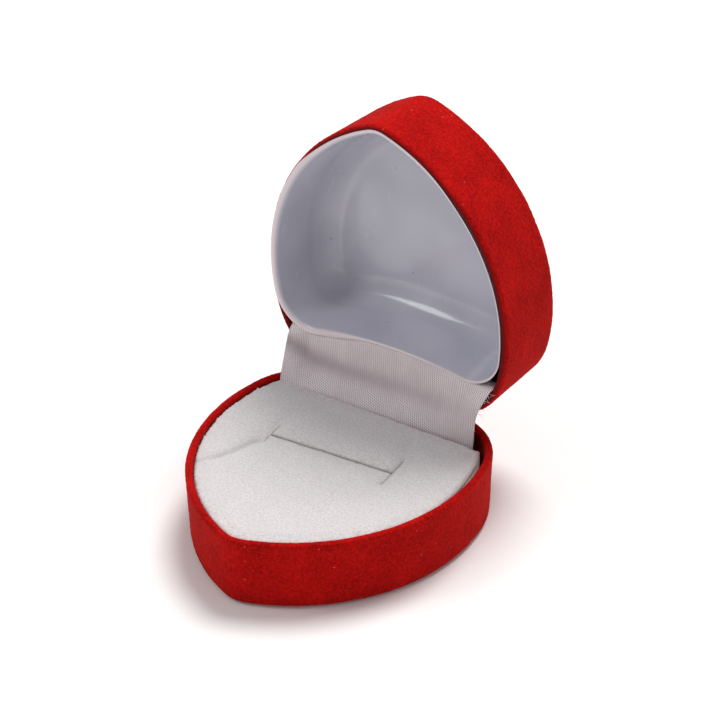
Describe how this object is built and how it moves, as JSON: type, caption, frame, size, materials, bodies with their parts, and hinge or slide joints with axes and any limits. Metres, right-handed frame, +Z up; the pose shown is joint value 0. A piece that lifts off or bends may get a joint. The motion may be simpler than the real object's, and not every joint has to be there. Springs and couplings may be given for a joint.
{
  "type": "jewelry gift box",
  "caption": "Heart-shaped velvet-flocked ring box with a snap-hinged lid, glossy lid liner, satin hinge strip and slit ring pad.",
  "frame": {"origin": "middle of the flat underside, below the line through the two lobe centres", "axes": "+Z up, the tip of the heart points to -Y, the hinge is towards +Y, +X to the right seen from the tip"},
  "size_m": [0.0523, 0.0655, 0.0679],
  "materials": {
    "red_flock": "short red flock on moulded plastic",
    "grey_card": "uncoated grey board",
    "white_foam": "open-cell foam",
    "grey_flannel": "light grey flocked flannel",
    "zinc_plated_steel": "zinc plated",
    "spring_steel": "blued spring steel",
    "pale_satin": "silvery pink satin ribbon",
    "white_gloss_film": "glossy vacuum-formed sheet"
  },
  "bodies": {
    "base": {"base_shell": "red_flock", "pad_card": "grey_card", "pad_foam": "white_foam", "pad_cover": "grey_flannel", "base_hinge_leaf": "zinc_plated_steel", "hinge_pin": "zinc_plated_steel", "snap_spring": "spring_steel", "spring_rivet": "zinc_plated_steel", "satin_strip": "pale_satin"},
    "lid": {"lid_hinge_leaf": "zinc_plated_steel", "lid_shell": "red_flock", "lid_liner": "white_gloss_film"}
  },
  "joints": [
    {"name": "lid_hinge", "type": "hinge", "parent": "base", "child": "lid", "pos_m": [0, 0.0126, 0.0167], "axis": [-0.9986, 0, -0.0523], "range_deg": [-90, 4], "deforming": ["satin_strip", "snap_spring"]}
  ]
}
